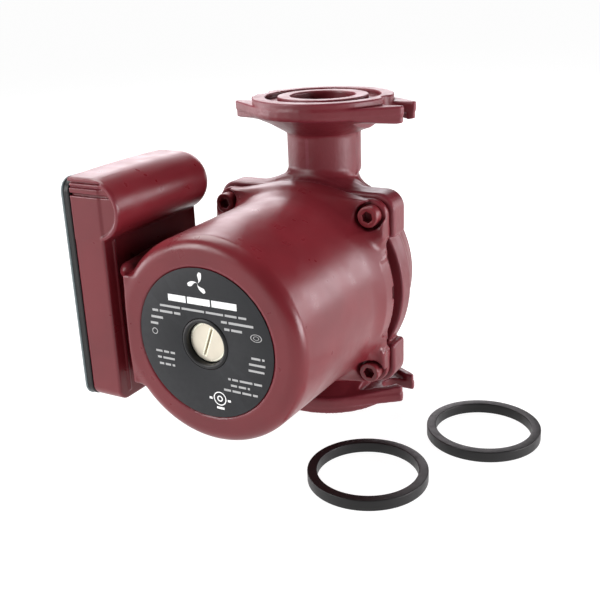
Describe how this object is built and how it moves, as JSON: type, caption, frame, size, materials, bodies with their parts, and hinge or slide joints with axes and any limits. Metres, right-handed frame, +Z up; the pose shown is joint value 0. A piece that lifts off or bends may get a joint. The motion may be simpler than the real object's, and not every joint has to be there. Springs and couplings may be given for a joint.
{
  "type": "circulator pump",
  "caption": "In-line wet-rotor circulator pump with slotted pipe flanges, a round motor, a side wiring box and loose flange gaskets.",
  "frame": {"origin": "middle of the footprint of the pump and its loose gaskets, on the plane they all stand on, which is the bottom flange's sealing face", "axes": "+Z up the pipe axis to the top flange, -Y out of the front of the motor, +X to the pump's right seen from the motor's front; the pipe axis is at X -0.0263, Y 0.04115"},
  "size_m": [0.2004, 0.1582, 0.1651],
  "materials": {
    "cast_paint": "satin red paint over a cast surface",
    "housing_paint": "satin red paint over a die casting",
    "cover_paint": "satin grey paint",
    "screw_paint": "satin red paint over steel",
    "rubber": "matte moulded rubber",
    "label": "matte charcoal label with a plain printed symbol",
    "nickel": "nickel plate over brass",
    "stainless": "drawn stainless steel",
    "steel": "zinc plated steel",
    "green_steel": "green plated steel",
    "laminations": "stacked steel sheets",
    "copper": "enamelled copper wire, wound and varnished",
    "ceramic": "polished technical ceramic",
    "carbon": "pressed carbon",
    "brass": "bare brass",
    "capacitor": "light moulded plastic can",
    "black_plastic": "black moulded plastic",
    "wire": "blue insulated wire"
  },
  "bodies": {
    "pump_body": {"bearing_plate": "stainless", "capacitor": "capacitor", "capacitor_lead_1": "wire", "capacitor_lead_2": "wire", "front_bearing": "ceramic", "ground_screw": "green_steel", "housing_gasket": "rubber", "housing_screw_1": "screw_paint", "housing_screw_2": "screw_paint", "housing_screw_3": "screw_paint", "housing_screw_4": "screw_paint", "knockout_blank": "housing_paint", "nameplate": "label", "neck_ring": "stainless", "rear_bearing": "ceramic", "rotor_can": "stainless", "stator_core": "laminations", "stator_housing": "housing_paint", "stator_lead_1": "wire", "stator_lead_2": "wire", "terminal_block": "black_plastic", "terminal_box": "housing_paint", "terminal_box_gasket": "rubber", "terminal_box_screw_1": "steel", "terminal_box_screw_2": "steel", "terminal_screw_1": "brass", "terminal_screw_2": "brass", "terminal_screw_3": "brass", "volute_casing": "cast_paint", "winding_front": "copper", "winding_rear": "copper"},
    "rotor": {"rotor_core": "laminations", "shaft": "ceramic", "thrust_bearing": "carbon", "thrust_bearing_retainer": "rubber", "impeller": "stainless", "split_cone": "stainless", "impeller_nut": "brass"},
    "vent_seal": {"vent_plug_seal": "rubber"},
    "vent_plug": {"vent_plug": "nickel"},
    "gasket_front": {"flange_gasket_front": "rubber"},
    "gasket_back": {"flange_gasket_back": "rubber"},
    "box_cover": {"terminal_box_cover": "cover_paint", "cover_gasket": "rubber", "cover_screw_1": "steel", "cover_screw_2": "steel"}
  },
  "joints": [
    {"name": "rotor_spin", "type": "hinge", "parent": "pump_body", "child": "rotor", "pos_m": [-0.02545, -0.01885, 0.0714], "axis": [0, -1, 0], "continuous": true},
    {"name": "vent_seal_travel", "type": "slide", "parent": "pump_body", "child": "vent_seal", "axis": [0, -1, 0], "range_m": [0, 0.0091]},
    {"name": "vent_plug_turn", "type": "hinge", "parent": "vent_seal", "child": "vent_plug", "pos_m": [-0.02545, -0.07585, 0.0714], "axis": [0, -1, 0], "range_deg": [0, 2160]},
    {"name": "box_cover_lift", "type": "slide", "parent": "pump_body", "child": "box_cover", "axis": [-1, 0, 0], "range_m": [0, 0.05]},
    {"name": "gasket_front_slide", "type": "slide", "parent": "pump_body", "child": "gasket_front", "axis": [1, 0, 0], "range_m": [0, 0.06]},
    {"name": "gasket_back_slide", "type": "slide", "parent": "pump_body", "child": "gasket_back", "axis": [1, 0, 0], "range_m": [0, 0.06]}
  ],
  "couplings": [
    {"joint": "vent_seal_travel", "follows": "vent_plug_turn", "m_per_rad": 0.00023873}
  ]
}
